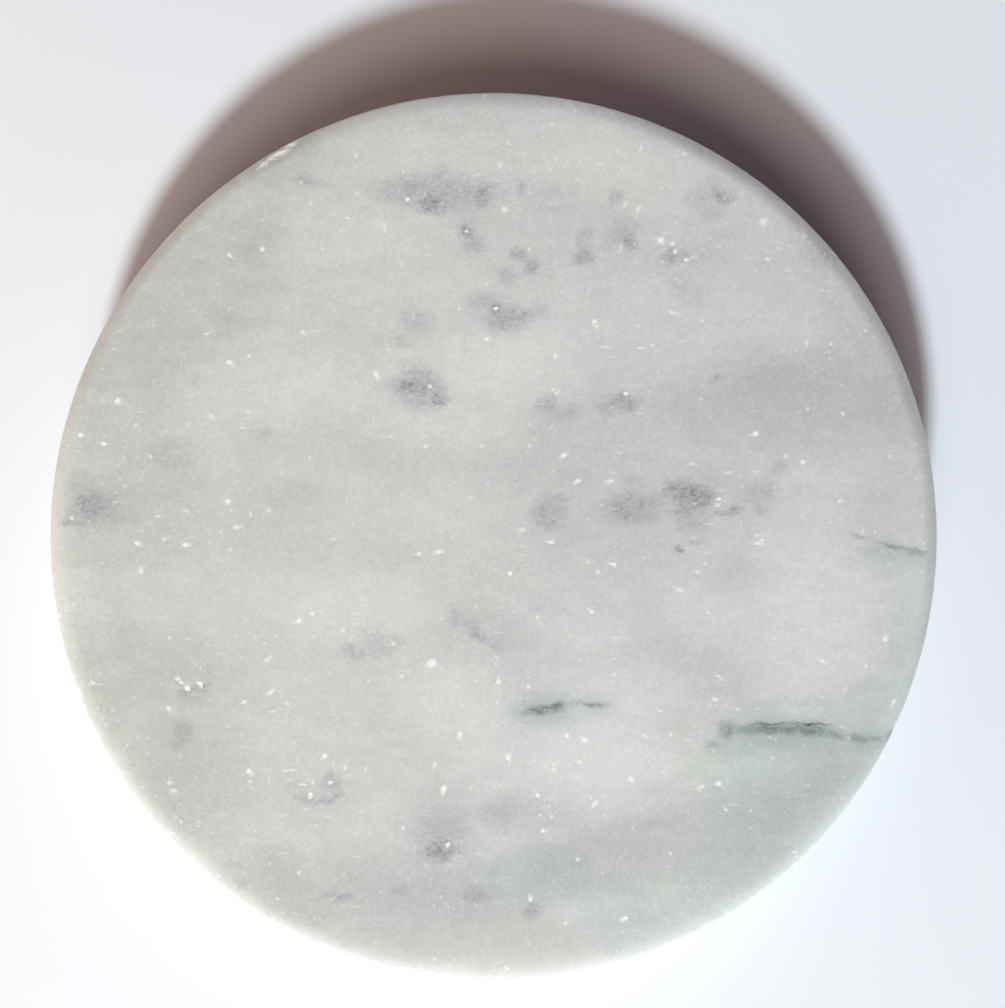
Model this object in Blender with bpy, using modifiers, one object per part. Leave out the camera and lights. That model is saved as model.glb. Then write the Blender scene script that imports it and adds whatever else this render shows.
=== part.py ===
"""A round honed marble disc that stands on self-adhesive bumper feet.

Units are metres and +Z is up. The origin is the disc's centre, in the plane
that the feet rest on. The stone is one piece cut from a slab, and each foot
is a separate moulded pad under it.
"""
import math

import bpy

COLLECTION_NAME = "marble_disc"

# Stone
STONE_DIAMETER = 0.100
STONE_THICKNESS = 0.010
TOP_EASE_WIDTH = 0.0018
TOP_EASE_TILT = math.radians(22)
TOP_CORNER_RADIUS = 0.00025
LOWER_ARRIS_RADIUS = 0.0010
STONE_STEPS = 128

# Feet
FOOT_COUNT = 4
FOOT_DIAMETER = 0.008
FOOT_HEIGHT = 0.0020
FOOT_SKIRT_HEIGHT = 0.0004
FOOT_SHOULDER_WIDTH = 0.0014
FOOT_FIRST_ANGLE = math.radians(45)
FOOT_STEPS = 48

# Fits: the film of adhesive is the gap between a foot and the stone
ADHESIVE_GAP = 0.0003
FOOT_EDGE_MARGIN = 0.007

# Fineness of the turned shapes
ARC_SEGMENTS = 6
MERGE_DISTANCE = 0.00001
SHARP_ANGLE = math.radians(40)

# Derived sizes
STONE_RADIUS = STONE_DIAMETER / 2
STONE_BASE_HEIGHT = FOOT_HEIGHT + ADHESIVE_GAP
FOOT_RADIUS = FOOT_DIAMETER / 2
FOOT_CIRCLE_RADIUS = STONE_RADIUS - LOWER_ARRIS_RADIUS - FOOT_EDGE_MARGIN - FOOT_RADIUS


def clear_scene():
    """Remove every object that the file starts with."""
    for old in list(bpy.data.objects):
        bpy.data.objects.remove(old, do_unlink=True)


def new_material(name, colour, roughness):
    """Principled material with one colour and no metal in it."""
    material = bpy.data.materials.new(name)
    material.use_nodes = True
    shader = material.node_tree.nodes["Principled BSDF"]
    shader.inputs["Base Color"].default_value = (*colour, 1.0)
    shader.inputs["Roughness"].default_value = roughness
    shader.inputs["Metallic"].default_value = 0.0
    material.diffuse_color = (*colour, 1.0)
    return material


def arc(centre_radius, centre_height, width, height, start, end):
    """Points (radius, height) along an elliptical arc, both ends included."""
    points = []
    for step in range(ARC_SEGMENTS + 1):
        angle = math.radians(start + (end - start) * step / ARC_SEGMENTS)
        radius = centre_radius + width * math.cos(angle)
        points.append((radius, centre_height + height * math.sin(angle)))
    return points


def turned_mesh(name, profile, steps):
    """Turn a profile, listed from its top to its bottom, once round +Z."""
    outline = bpy.data.meshes.new(name)
    corners = [(radius, 0.0, height) for radius, height in profile]
    outline.from_pydata(corners, [(i, i + 1) for i in range(len(corners) - 1)], [])

    lathe = bpy.data.objects.new(name, outline)
    bpy.context.scene.collection.objects.link(lathe)
    screw = lathe.modifiers.new("turn", "SCREW")
    screw.axis = "Z"
    screw.steps = steps
    screw.render_steps = steps
    screw.use_merge_vertices = True
    screw.merge_threshold = MERGE_DISTANCE

    evaluated = lathe.evaluated_get(bpy.context.evaluated_depsgraph_get())
    mesh = bpy.data.meshes.new_from_object(evaluated)
    mesh.name = name
    bpy.data.objects.remove(lathe)
    bpy.data.meshes.remove(outline)

    mesh.shade_smooth()
    mesh.set_sharp_from_angle(angle=SHARP_ANGLE)
    return mesh


def place(name, mesh, location, parent, collection):
    """Make an object of a mesh, set it under the frame and file it."""
    piece = bpy.data.objects.new(name, mesh)
    piece.location = location
    piece.parent = parent
    collection.objects.link(piece)
    return piece


def eased_edge():
    """The face rolls off, steeper towards the rim, and ends in a small rounded corner.

    The slope grows with the square of the way back to the flat, so the edge
    joins the flat face without a line. The corner starts at the same slope.
    """
    corner_start = 90 - math.degrees(TOP_EASE_TILT)
    corner_reach = TOP_CORNER_RADIUS * (1 - math.sin(TOP_EASE_TILT))
    width = TOP_EASE_WIDTH - corner_reach
    flat_radius = STONE_RADIUS - TOP_EASE_WIDTH

    points = []
    for step in range(ARC_SEGMENTS):
        left = 1 - step / ARC_SEGMENTS
        fall = (1 - left) - (1 - left ** 3) / 3
        drop = width * math.tan(TOP_EASE_TILT) * fall
        points.append((flat_radius + width * (1 - left), STONE_THICKNESS - drop))

    end_drop = width * math.tan(TOP_EASE_TILT) * 2 / 3
    centre_height = STONE_THICKNESS - end_drop - TOP_CORNER_RADIUS * math.cos(TOP_EASE_TILT)
    corner = arc(STONE_RADIUS - TOP_CORNER_RADIUS, centre_height,
                 TOP_CORNER_RADIUS, TOP_CORNER_RADIUS, corner_start, 0)
    return points + corner


def stone_profile():
    """Flat face, eased edge, straight wall, rounded lower arris, flat back."""
    top = eased_edge()
    lower = arc(STONE_RADIUS - LOWER_ARRIS_RADIUS, LOWER_ARRIS_RADIUS,
                LOWER_ARRIS_RADIUS, LOWER_ARRIS_RADIUS, 0, -90)
    return [(0.0, STONE_THICKNESS)] + top + lower + [(0.0, 0.0)]


def foot_profile():
    """Flat glued face, short straight skirt, domed shoulder, flat bearing face."""
    skirt_foot = FOOT_HEIGHT - FOOT_SKIRT_HEIGHT
    shoulder = arc(FOOT_RADIUS - FOOT_SHOULDER_WIDTH, skirt_foot,
                   FOOT_SHOULDER_WIDTH, skirt_foot, 0, -90)
    return [(0.0, FOOT_HEIGHT), (FOOT_RADIUS, FOOT_HEIGHT)] + shoulder + [(0.0, 0.0)]


def make_stone(parent, collection):
    """The disc itself, one solid piece of marble."""
    mesh = turned_mesh("stone_disc", stone_profile(), STONE_STEPS)
    mesh.materials.append(new_material("honed_marble", (0.60, 0.60, 0.59), 0.5))
    place("stone_disc", mesh, (0.0, 0.0, STONE_BASE_HEIGHT), parent, collection)


def make_feet(parent, collection):
    """Equal pads on a circle under the stone, each one its own piece."""
    mesh = turned_mesh("bumper_foot", foot_profile(), FOOT_STEPS)
    mesh.materials.append(new_material("clear_bumper", (0.78, 0.78, 0.75), 0.3))
    for number in range(FOOT_COUNT):
        angle = FOOT_FIRST_ANGLE + math.tau * number / FOOT_COUNT
        x = FOOT_CIRCLE_RADIUS * math.cos(angle)
        y = FOOT_CIRCLE_RADIUS * math.sin(angle)
        place(f"bumper_foot_{number + 1}", mesh, (x, y, 0.0), parent, collection)


def main():
    clear_scene()
    collection = bpy.data.collections.new(COLLECTION_NAME)
    bpy.context.scene.collection.children.link(collection)
    frame = bpy.data.objects.new(COLLECTION_NAME + "_frame", None)
    collection.objects.link(frame)
    make_stone(frame, collection)
    make_feet(frame, collection)


main()
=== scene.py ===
# %% [markdown]
# # A honed marble disc on clear bumper feet
#
# The object is a round of white and grey marble, about as wide as a hand, that a shaving bowl,
# a brush or a soap can stand on: one stone with an eased rim, and four small moulded feet stuck
# under it. There is little shape to hide behind, so nearly all of the work is in the stone: its
# clouds, its grains, the way light sinks into it, and the small damage that every edge picks up.
#
# The measured solids come first. They fix every size, and nothing below moves them.

# %% Load the measured solids
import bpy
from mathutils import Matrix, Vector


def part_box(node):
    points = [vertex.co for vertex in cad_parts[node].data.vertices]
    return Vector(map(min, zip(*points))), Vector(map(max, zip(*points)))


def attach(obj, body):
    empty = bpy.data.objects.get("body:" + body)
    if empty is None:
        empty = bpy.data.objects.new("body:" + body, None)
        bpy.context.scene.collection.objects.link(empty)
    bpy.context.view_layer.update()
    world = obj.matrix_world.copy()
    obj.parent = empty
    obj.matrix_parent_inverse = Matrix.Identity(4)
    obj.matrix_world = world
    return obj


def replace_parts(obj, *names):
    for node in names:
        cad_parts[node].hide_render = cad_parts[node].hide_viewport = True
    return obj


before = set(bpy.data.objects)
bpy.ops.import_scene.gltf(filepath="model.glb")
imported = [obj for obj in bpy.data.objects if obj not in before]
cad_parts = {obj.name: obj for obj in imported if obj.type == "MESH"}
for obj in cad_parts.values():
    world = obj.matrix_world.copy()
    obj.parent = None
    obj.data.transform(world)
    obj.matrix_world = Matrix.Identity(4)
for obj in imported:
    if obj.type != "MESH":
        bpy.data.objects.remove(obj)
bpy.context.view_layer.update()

# %% The rest of the tools
import math
import random

import bmesh
import bpy
from mathutils import Matrix, Vector, noise
from mathutils.kdtree import KDTree

MM = 0.001
SLAB_SEED = 5
noise.seed_set(SLAB_SEED)        # vector noise would start from the clock

# %% [markdown]
# ## Sizes from the solids
#
# A box gives the stone's width and height. The flat part of its face ends where the edge, the
# arris, starts to roll off. That isn't in the box, so it is measured on the solid: it is the
# largest radius of any corner that lies in the top plane.

# %% Measure the stone
stone_low, stone_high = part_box("stone_disc")
RADIUS = (stone_high.x - stone_low.x) / 2
FACE_Z, BACK_Z = stone_high.z, stone_low.z


def flat_radius(height):
    """How far the flat part of the stone's face or back reaches."""
    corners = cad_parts["stone_disc"].data.vertices
    level = [v.co for v in corners if abs(v.co.z - height) < 0.01 * MM]
    return max(math.hypot(p.x, p.y) for p in level)


TOP_EASE = RADIUS - flat_radius(FACE_Z)
LOWER_ARRIS = RADIUS - flat_radius(BACK_Z)
print("radius", RADIUS, "edges", round(TOP_EASE, 5), round(LOWER_ARRIS, 5))

# %% [markdown]
# ## The camera
#
# The disc is looked at from straight above, from about the height of a hand-held phone. The
# lens follows from the distance and from how much of the table the picture takes in. Blender
# fits the sensor to the picture's longer side, so that side's span is the one that counts.

# %% Look straight down
CAMERA_HEIGHT = 0.160
PICTURE_SPAN = 0.1137
CAMERA_X, CAMERA_Y = 0.00096, 0.0037

camera_data = bpy.data.cameras.new("camera")
camera_data.sensor_width = 36.0
rim_distance = CAMERA_HEIGHT - (FACE_Z - 0.7 * MM)
camera_data.lens = camera_data.sensor_width * rim_distance / PICTURE_SPAN
camera_data.clip_start = 0.005
camera = bpy.data.objects.new("camera", camera_data)
camera.location = (CAMERA_X, CAMERA_Y, CAMERA_HEIGHT)
bpy.context.scene.collection.objects.link(camera)
bpy.context.scene.camera = camera
print("lens", round(camera_data.lens, 1), "mm")

# %% [markdown]
# ## Light and floor
#
# Daylight from a window is never one clean lamp. Here a cool key light stands on the near
# side, a little to the left and rather low, so the disc throws a clear shadow away from it. A
# wider and warmer light hangs above it and softens the shadow's outer edge. A small warm lamp
# close on the left turns that end of the shadow brown, and because it is near, it is brighter
# at the left of the table than at the right. The room round them is dim.

# %% A lamp that looks at the disc
def lamp(name, azimuth, elevation, distance, size, energy, colour):
    """Round area lamp; azimuth 0 stands on the near side, -90 on the left."""
    around, up = math.radians(azimuth), math.radians(elevation)
    away = Vector((math.sin(around) * math.cos(up), -math.cos(around) * math.cos(up), math.sin(up)))
    data = bpy.data.lights.new(name, "AREA")
    data.shape = "DISK"
    data.size = size
    data.energy = energy
    data.color = colour
    made = bpy.data.objects.new(name, data)
    made.location = away * distance
    made.rotation_euler = away.to_track_quat("Z", "Y").to_euler()
    made.visible_camera = False
    bpy.context.scene.collection.objects.link(made)
    return made


key = lamp("cool_key", -9.4, 36, 2.20, 0.27, 59.0, (0.785, 0.91, 0.98))
halo = lamp("wide_halo", -11, 48, 1.10, 0.66, 4.3, (1.0, 0.90, 0.85))
warm = lamp("warm_left", -85, 25, 0.22, 0.24, 0.118, (1.0, 0.64, 0.37))
for light in (key, halo, warm):
    print(light.name, [round(place, 3) for place in light.location])

# %% [markdown]
# ## Nodes without clutter
#
# Node trees are long to write out by hand. These small helpers add a node, set it up and join
# it in one line: an input takes either a plain number or another node's output.

# %% Helpers for node trees
BUMP_DEPTH = 0.02 * MM


def feed(tree, socket, value):
    """Join a socket to another node's output, or give it a plain value."""
    if isinstance(value, bpy.types.NodeSocket):
        tree.links.new(value, socket)
    else:
        socket.default_value = value


def fill(tree, made, inputs):
    """Feed several inputs of a node by name."""
    for name, value in inputs.items():
        feed(tree, made.inputs[name], value)
    return made


def node(tree, kind, inputs=None, **settings):
    """Add a shader node, set its options and then its inputs."""
    made = tree.nodes.new("ShaderNode" + kind)
    for name, value in settings.items():
        setattr(made, name, value)
    return fill(tree, made, inputs or {})


def calc(tree, operation, *values, kind="Math", **settings):
    """One step of arithmetic."""
    made = node(tree, kind, operation=operation, **settings)
    for socket, value in zip(made.inputs, values):
        feed(tree, socket, value)
    return made.outputs[0]


def times(tree, first, second):
    """The product of two numbers."""
    return calc(tree, "MULTIPLY", first, second)


def vector_calc(tree, operation, *values):
    """One step of arithmetic on vectors."""
    return calc(tree, operation, *values, kind="VectorMath")


def scaled(tree, vector, factor):
    """A vector made longer or shorter."""
    made = node(tree, "VectorMath", {"Scale": factor}, operation="SCALE")
    feed(tree, made.inputs[0], vector)
    return made.outputs[0]


def blend(tree, factor, first, second):
    """Mix two colours."""
    made = node(tree, "Mix", data_type="RGBA")
    for index, value in ((0, factor), (6, first), (7, second)):
        feed(tree, made.inputs[index], value)
    return made.outputs[2]


def ramp(tree, value, low, high, start=0.0, end=1.0):
    """Smooth step from start to end as value goes from low to high."""
    inputs = {"Value": value, "From Min": low, "From Max": high, "To Min": start, "To Max": end}
    return node(tree, "MapRange", inputs, interpolation_type="SMOOTHSTEP").outputs[0]


def speckle(tree, vector, scale, detail=2.0, roughness=0.5):
    """Noise from 0 to 1."""
    inputs = {"Vector": vector, "Scale": scale, "Detail": detail, "Roughness": roughness}
    return node(tree, "TexNoise", inputs).outputs[0]


def bumped(tree, height, strength):
    """A normal tipped by a height of a few hundredths of a millimetre."""
    inputs = {"Height": height, "Strength": strength, "Distance": BUMP_DEPTH}
    return node(tree, "Bump", inputs).outputs[0]


print("node helpers ready")

# %% [markdown]
# An effect that several finishes share is a node group with named inputs and outputs. In
# Blender 4.5 a group's sockets are made on its interface. The helper below makes an empty
# group and hands back the two nodes that carry its inputs and outputs.

# %% Helpers for node groups
ORIGIN = (0.0, 0.0, 0.0)


def new_group(name, inputs, outputs):
    """An empty shader group; inputs maps names to default values, outputs lists names."""
    tree = bpy.data.node_groups.new(name, "ShaderNodeTree")
    for label, value in inputs.items():
        kind = "NodeSocketVector" if isinstance(value, tuple) else "NodeSocketFloat"
        tree.interface.new_socket(label, in_out="INPUT", socket_type=kind).default_value = value
    for label, kind in outputs.items():
        tree.interface.new_socket(label, in_out="OUTPUT", socket_type="NodeSocket" + kind)
    return tree, tree.nodes.new("NodeGroupInput").outputs, tree.nodes.new("NodeGroupOutput").inputs


def use(tree, group, inputs):
    """Place a group in a tree, give it its values and hand back its outputs."""
    return node(tree, "Group", inputs, node_tree=group).outputs


def new_material(name):
    """A material with an empty Principled shader, and its tree."""
    material = bpy.data.materials.new(name)
    material.use_nodes = True
    tree = material.node_tree
    return material, tree, tree.nodes["Principled BSDF"]


print("group helpers ready")

# %% [markdown]
# ## The floor
#
# A plain white card. A real sheet is never one flat value, so a very weak cloudiness and a
# fine tooth are added, both too faint to compete with the stone. It is only a stage: it isn't
# part of the object.

# %% A pale card to stand on
FLOOR_HALF = 1.6
CARD_DULL, CARD_BRIGHT = (0.845, 0.852, 0.862, 1), (0.865, 0.870, 0.878, 1)


def card_material():
    """Matt white card with a faint tooth."""
    material, tree, shader = new_material("white_card")
    where = node(tree, "TexCoord").outputs["Object"]
    cloud = speckle(tree, where, 18, 3)
    tooth = speckle(tree, where, 1400)
    fill(tree, shader, {"Base Color": blend(tree, cloud, CARD_DULL, CARD_BRIGHT),
                        "Roughness": ramp(tree, tooth, 0.2, 0.8, 0.62, 0.74),
                        "Normal": bumped(tree, tooth, 0.25)})
    return material


bm = bmesh.new()
bmesh.ops.create_grid(bm, x_segments=4, y_segments=4, size=FLOOR_HALF)
floor_mesh = bpy.data.meshes.new("pale_floor")
bm.to_mesh(floor_mesh)
bm.free()
floor_mesh.materials.append(card_material())
floor = bpy.data.objects.new("pale_floor", floor_mesh)
bpy.context.scene.collection.objects.link(floor)
print("floor", floor.dimensions)

# %% The dim room round it
ROOM_LIGHT = (0.068, 0.041, 0.055, 1)
BACKDROP = (0.80, 0.81, 0.83, 1)

world = bpy.data.worlds.new("room")
world.use_nodes = True
bpy.context.scene.world = world
room = world.node_tree
seen = node(room, "LightPath").outputs["Is Camera Ray"]
feed(room, room.nodes["Background"].inputs["Color"], blend(room, seen, ROOM_LIGHT, BACKDROP))
bpy.context.scene.view_settings.view_transform = "Standard"
print("room ready")

# %% [markdown]
# ## The stone's shape
#
# A round stone like this is core-drilled or water-jetted from a slab, then its face is honed
# and its sharp edges, the arrises, are rubbed down. Rubbing by hand doesn't make a quarter
# round: the face rolls off, steeper towards the rim, and ends in a small corner. So the shape
# is a turned profile: flat face, eased edge, corner, straight wall, lower arris, flat back. A
# spin gives control of where the points go, and the face gets a ring every 0.8 mm, as it will
# be painted point by point later.
#
# If the slope falls from its full value with the square of the way back to the flat, it is
# zero where the flat starts, so no line shows there. The drop is the sum of that slope.

# %% The profile from the middle of the face to the middle of the back
FACE_STEP = 0.8 * MM
EASE_TILT = math.radians(22)
CORNER = 0.15 * MM
EASE_STEPS = 9
ARRIS_STEPS = 8
BACK_RINGS = 24
WALL_STEPS = 12
TURN_STEPS = 400


def arc(centre_r, centre_z, radius, start, end, steps):
    """Points on a quarter round, both ends included."""
    angles = [math.radians(start + (end - start) * i / steps) for i in range(steps + 1)]
    return [(centre_r + radius * math.cos(a), centre_z + radius * math.sin(a)) for a in angles]


EASE_WIDTH = TOP_EASE - CORNER * (1 - math.sin(EASE_TILT))


def eased_height(radius):
    """Height of the eased edge at a distance from the axis."""
    done = min(1.0, max(0.0, (radius - RADIUS + TOP_EASE) / EASE_WIDTH))
    fall = done - (1 - (1 - done) ** 3) / 3
    return FACE_Z - EASE_WIDTH * math.tan(EASE_TILT) * fall


CORNER_Z = eased_height(RADIUS) - CORNER * math.cos(EASE_TILT)


def stone_profile():
    """(radius, height) pairs, from the centre over the rim to the centre."""
    face_edge, back_edge = RADIUS - TOP_EASE, RADIUS - LOWER_ARRIS
    rings = int(face_edge / FACE_STEP)
    face = [(face_edge * i / rings, FACE_Z) for i in range(rings)]
    ease = [face_edge + EASE_WIDTH * i / EASE_STEPS for i in range(EASE_STEPS)]
    ease = [(radius, eased_height(radius)) for radius in ease]
    steep = 90 - math.degrees(EASE_TILT)
    top = ease + arc(RADIUS - CORNER, CORNER_Z, CORNER, steep, 0, ARRIS_STEPS)
    lower = arc(back_edge, BACK_Z + LOWER_ARRIS, LOWER_ARRIS, 0, -90, ARRIS_STEPS)
    wall_top, wall_foot = top[-1][1], lower[0][1]
    drop = (wall_top - wall_foot) / WALL_STEPS
    wall = [(RADIUS, wall_top - drop * i) for i in range(1, WALL_STEPS)]
    back = [(back_edge * i / BACK_RINGS, BACK_Z) for i in range(BACK_RINGS - 1, -1, -1)]
    return face + top + wall + lower + back


profile = stone_profile()
print(len(profile), "points in the profile")

# %% Spin it into a solid
WELD = 0.001 * MM


def spun(points, steps):
    """A closed solid of revolution in a new bmesh."""
    shape = bmesh.new()
    ring = [shape.verts.new((r, 0.0, z)) for r, z in points]
    line = [shape.edges.new(pair) for pair in zip(ring, ring[1:])]
    bmesh.ops.spin(shape, geom=ring + line, cent=(0, 0, 0), axis=(0, 0, 1), dvec=(0, 0, 0),
                   angle=math.tau, steps=steps, use_merge=True)
    bmesh.ops.remove_doubles(shape, verts=shape.verts, dist=WELD)
    bmesh.ops.recalc_face_normals(shape, faces=shape.faces)
    return shape


stone = spun(profile, TURN_STEPS)
print(len(stone.faces), "faces, volume", round(stone.calc_volume() * 1e6, 2), "cm3")

# %% [markdown]
# ## What is in this slab
#
# Marble is limestone that has been cooked and squeezed until it became a mass of interlocked
# calcite crystals. What was mud between its beds is now grey clouds, graphite freckles and
# thin green-black seams, all drawn out along the bedding. A crystal that happens to lie flush
# with the face flashes white.
#
# Random noise gives a marble, but not this marble: every slab has its own freckles and seams,
# and the eye knows them. The lists below place the ones that give this disc its character,
# each as an oval in millimetres with a centre, a half length and width, a turn in degrees and
# a strength. They were given one by one, and noise does the rest later: it frays their outlines
# and fills them with grains.

# %% Clouds: paler and greyer parts of the ground, the grey ones at the lower left and the bottom partly painted shade
PALE = (
    (1, 19.5, 12, 6, 5, 1), (-6, 12.5, 11, 5, -5, 0.65), (-22, 16.5, 15, 5, 0, 0.62),
    (12, -25.5, 13, 7, -4, 1), (14, -18, 9, 6, 0, 0.65), (-5, -18.5, 9, 6, -20, 0.75),
    (0, -23, 6, 5, 0, 0.6), (-17, -7.5, 13, 5, -4, 0.7), (35.5, -8, 9, 14, -10, 0.8),
    (26, -9, 8, 4.5, -20, 0.45), (12, 42, 15, 5.5, -15, 0.9), (-15, 34, 13, 6, 0, 0.55),
    (-9, 28, 12, 5, 0, 0.5), (11, 25, 12, 7, 0, 0.45), (32, 26, 11, 5, -15, 0.3),
    (-3, 3, 9, 6, 0, 0.38), (24, 36, 9, 4, -30, 0.35), (-5, 43, 12, 4, 0, 0.55),
    (11, -12, 8, 6, 0, 0.45), (24, 23, 6, 4, 0, 0.22), (46, -5, 4, 8, -8, 0.3), (-46, -8, 3, 6, 5, 0.4),
    (9, -42, 6, 3, 5, 0.35), (38, -32, 10, 3, 42, 0.45), (30, -26, 8, 3, 5, 0.55),
    (-10.5, 18.5, 4, 3, 0, 0.6), (6, 35.5, 8, 5, 0, 0.22), (-41, 27, 5, 6, -30, 0.3),
    (37, 5, 6, 4, 0, 0.4),
)
# greyer parts of the stone; the rows at the lower left and along the bottom are also painted shade,
# darker where the lamps light the face more strongly
GREY_CLOUDS_AND_SHADE = (
    (37, 15.5, 22, 7, 3, 0.9), (-41, 21, 10, 15, -22, 0.72), (-40, 3, 10, 9, 0, 0.62),
    (-46, 3, 5, 7, 0, 0.3), (13, -35.5, 17, 5.5, 14, 1), (5, -31, 10, 3.4, 4, 0.65),
    (34, -30, 17, 7, 32, 0.8), (-9, -40.5, 19, 7, -2, 1), (-35, -27, 10, 10, 35, 0.78),
    (-37, -15, 10, 6, -10, 0.75), (-45, -18, 5, 11, 18, 0.75), (-22, -41, 12, 6, -25, 0.9),
    (-31, 30, 9, 9, 20, 0.6), (-13, -44, 12, 5, -8, 0.8), (-6, -32, 6, 5, 0, 0.65),
    (-20, -29, 6, 4, 0, 0.45), (18, -30, 6, 4, 10, 0.5), (25, 34, 5, 5, 0, 0.35), (7, 8, 13, 5, 5, 0.4),
    (8, 12, 9, 3, 8, 0.3), (-24, 43, 7, 3.5, 28, 0.45), (42, 22, 8, 4, -40, 0.5),
    (33, 28, 10, 4, -25, 0.15), (5, -14, 6, 4, -10, 0.2), (0, -10, 6, 3, -25, 0.35),
    (22, -14, 12, 5, -14, 0.28), (14, 0, 18, 6, 4, 0.3), (-25, 3, 9, 5, 0, 0.28),
    (-8, 31, 9, 3, 0, 0.1), (0, -44, 14, 3, 0, 0.4), (22, 5, 9, 4, 0, 0.4), (44, 3, 6, 8, 0, 0.25),
    (-10, 9.5, 8, 3, 0, 0.3), (20, -22, 4, 4, 0, 0.25),
)
OLIVE = (
    (-45, -10, 5, 13, 8, 0.7), (-40, -22, 6, 11, 35, 0.9), (-27, -38, 11, 5, -30, 0.7),
    (12, 42, 9, 6, -15, 0.7), (-24, 42, 6, 4, 30, 0.9), (-47, 12, 3, 9, -12, 0.5),
    (-38, 30, 3, 9, -38, 0.5), (1, -45, 10, 4, 2, 0.7), (26, -26, 7, 3, 0, 1), (17, -41, 8, 4, 15, 0.9),
    (40, 27, 6, 4, -50, 0.3), (22, -24, 3, 6, 10, 0.6), (47, -13, 4, 5, 0, 0.5), (-32, 3, 9, 6, 0, 0.2),
)
TEAL = (
    (33, -29, 12, 9, 35, 0.75), (30, -36, 12, 7, 35, 0.75), (43, -22, 9, 6, 50, 0.8),
    (5, -38, 7, 4, 4, 0.8), (-3, -40, 5, 3, 0, 0.35), (14, -41, 6, 4, 15, 0.45),
    (6.5, -19.3, 6, 2.4, 5, 0.5), (47.5, -8, 3, 9, -12, 0.55), (35, -20.5, 11, 3, 2, 0.7),
    (46, -3, 5, 2.6, -12, 0.55), (-9.6, 16.6, 3.4, 2.6, 0, 0.3), (0, 25, 3.4, 2.6, 0, 0.3),
    (14, 15, 3, 2, 0, 0.25), (-3, 34, 1.8, 1.6, 0, 0.4), (19, -44, 8, 3.4, 15, 0.5),
)
print(len(PALE), "pale,", len(GREY_CLOUDS_AND_SHADE), "grey,", len(OLIVE), "olive and", len(TEAL), "teal clouds")

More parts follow.
